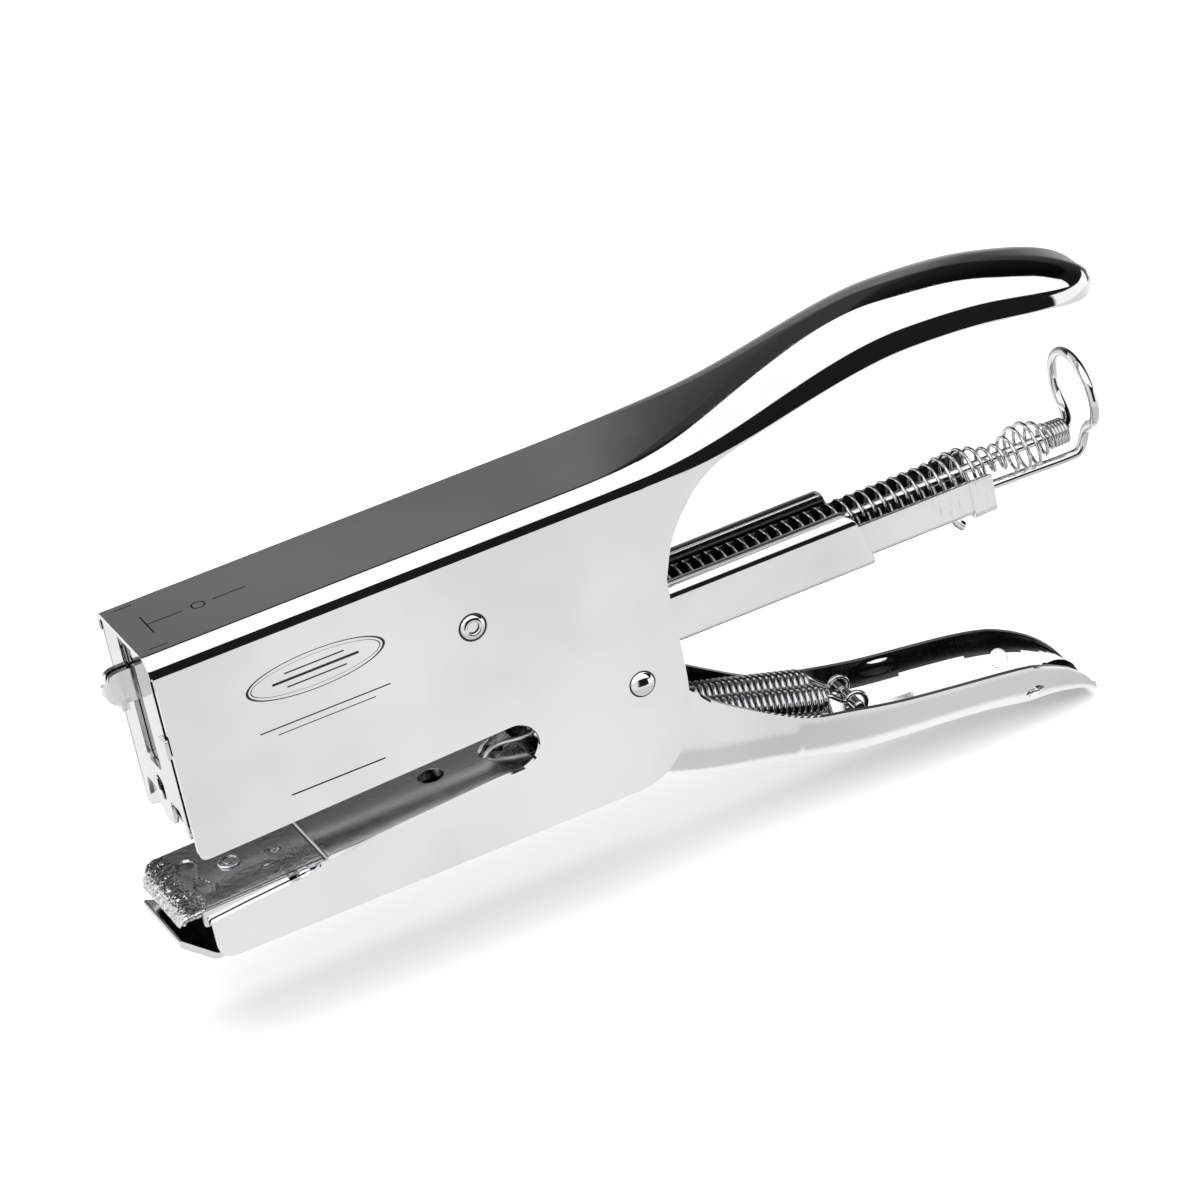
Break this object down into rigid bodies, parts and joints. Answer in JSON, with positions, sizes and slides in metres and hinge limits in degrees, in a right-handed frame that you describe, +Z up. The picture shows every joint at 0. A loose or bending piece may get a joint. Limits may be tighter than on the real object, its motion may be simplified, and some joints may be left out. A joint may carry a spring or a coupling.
{
  "type": "plier stapler",
  "caption": "Hand plier stapler: chromed sheet-metal body with long upper handle and slim lower jaw, squeezed lower handle, swinging magazine, ringed feeder rod and exposed return springs.",
  "frame": {"origin": "on the underside of the lower jaw, mid width, straight below the clinch line", "axes": "+X rearwards along the stapler towards the handle ends, +Y across towards the far side, +Z up from the jaw underside through the magazine"},
  "size_m": [0.1889, 0.0274, 0.0902],
  "materials": {
    "chrome_body": "bright nickel-chrome plate over polished pressed steel",
    "plated_steel": "satin nickel plate",
    "dark_steel": "hardened, lightly oiled",
    "spring_wire": "bright drawn wire, zinc flash",
    "rivet_steel": "plated rivet steel"
  },
  "bodies": {
    "frame": {"body_shell": "chrome_body", "jaw_base_plate": "plated_steel", "jaw_top_plate": "plated_steel", "anvil": "plated_steel", "anvil_rivet": "rivet_steel", "main_rivet": "rivet_steel", "pivot_spacers": "plated_steel", "hollow_pin": "rivet_steel", "magazine_press_spring": "spring_wire", "return_spring_near": "spring_wire", "return_spring_far": "spring_wire"},
    "handle": {"lower_handle": "chrome_body", "drive_lever": "plated_steel", "lever_rivets": "rivet_steel", "spring_hook": "plated_steel"},
    "magazine": {"magazine_sleeve": "chrome_body", "front_guide": "plated_steel", "staple_rail": "plated_steel", "rail_end_cap": "plated_steel", "rail_rivets": "rivet_steel"},
    "driver": {"driver_blade": "dark_steel"},
    "feeder": {"feed_rod": "spring_wire", "feed_spring": "spring_wire"},
    "pusher": {"pusher": "plated_steel"}
  },
  "joints": [
    {"name": "handle_squeeze", "type": "hinge", "parent": "frame", "child": "handle", "pos_m": [0.0816, 0, 0.0196], "axis": [0, -1, 0], "range_deg": [0, 12.5], "stiffness_Nm_per_rad": 2.5, "springref_deg": -9.17, "deforming": ["return_spring_near", "return_spring_far"]},
    {"name": "magazine_drop", "type": "hinge", "parent": "frame", "child": "magazine", "pos_m": [0.0816, 0, 0.0196], "axis": [0, -1, 0], "range_deg": [0, 7.8], "deforming": ["magazine_press_spring"]},
    {"name": "driver_slide", "type": "slide", "parent": "magazine", "child": "driver", "axis": [0, 0, -1], "range_m": [0, 0.0075]},
    {"name": "feeder_slide", "type": "slide", "parent": "magazine", "child": "feeder", "axis": [1, 0, 0], "range_m": [0, 0.125]},
    {"name": "pusher_slide", "type": "slide", "parent": "feeder", "child": "pusher", "axis": [1, 0, 0], "range_m": [0, 0.075], "deforming": ["feed_spring"]}
  ],
  "couplings": [
    {"joint": "magazine_drop", "follows": "handle_squeeze", "ratio": 0.616},
    {"joint": "driver_slide", "follows": "handle_squeeze", "m_per_rad": 0.0325}
  ]
}
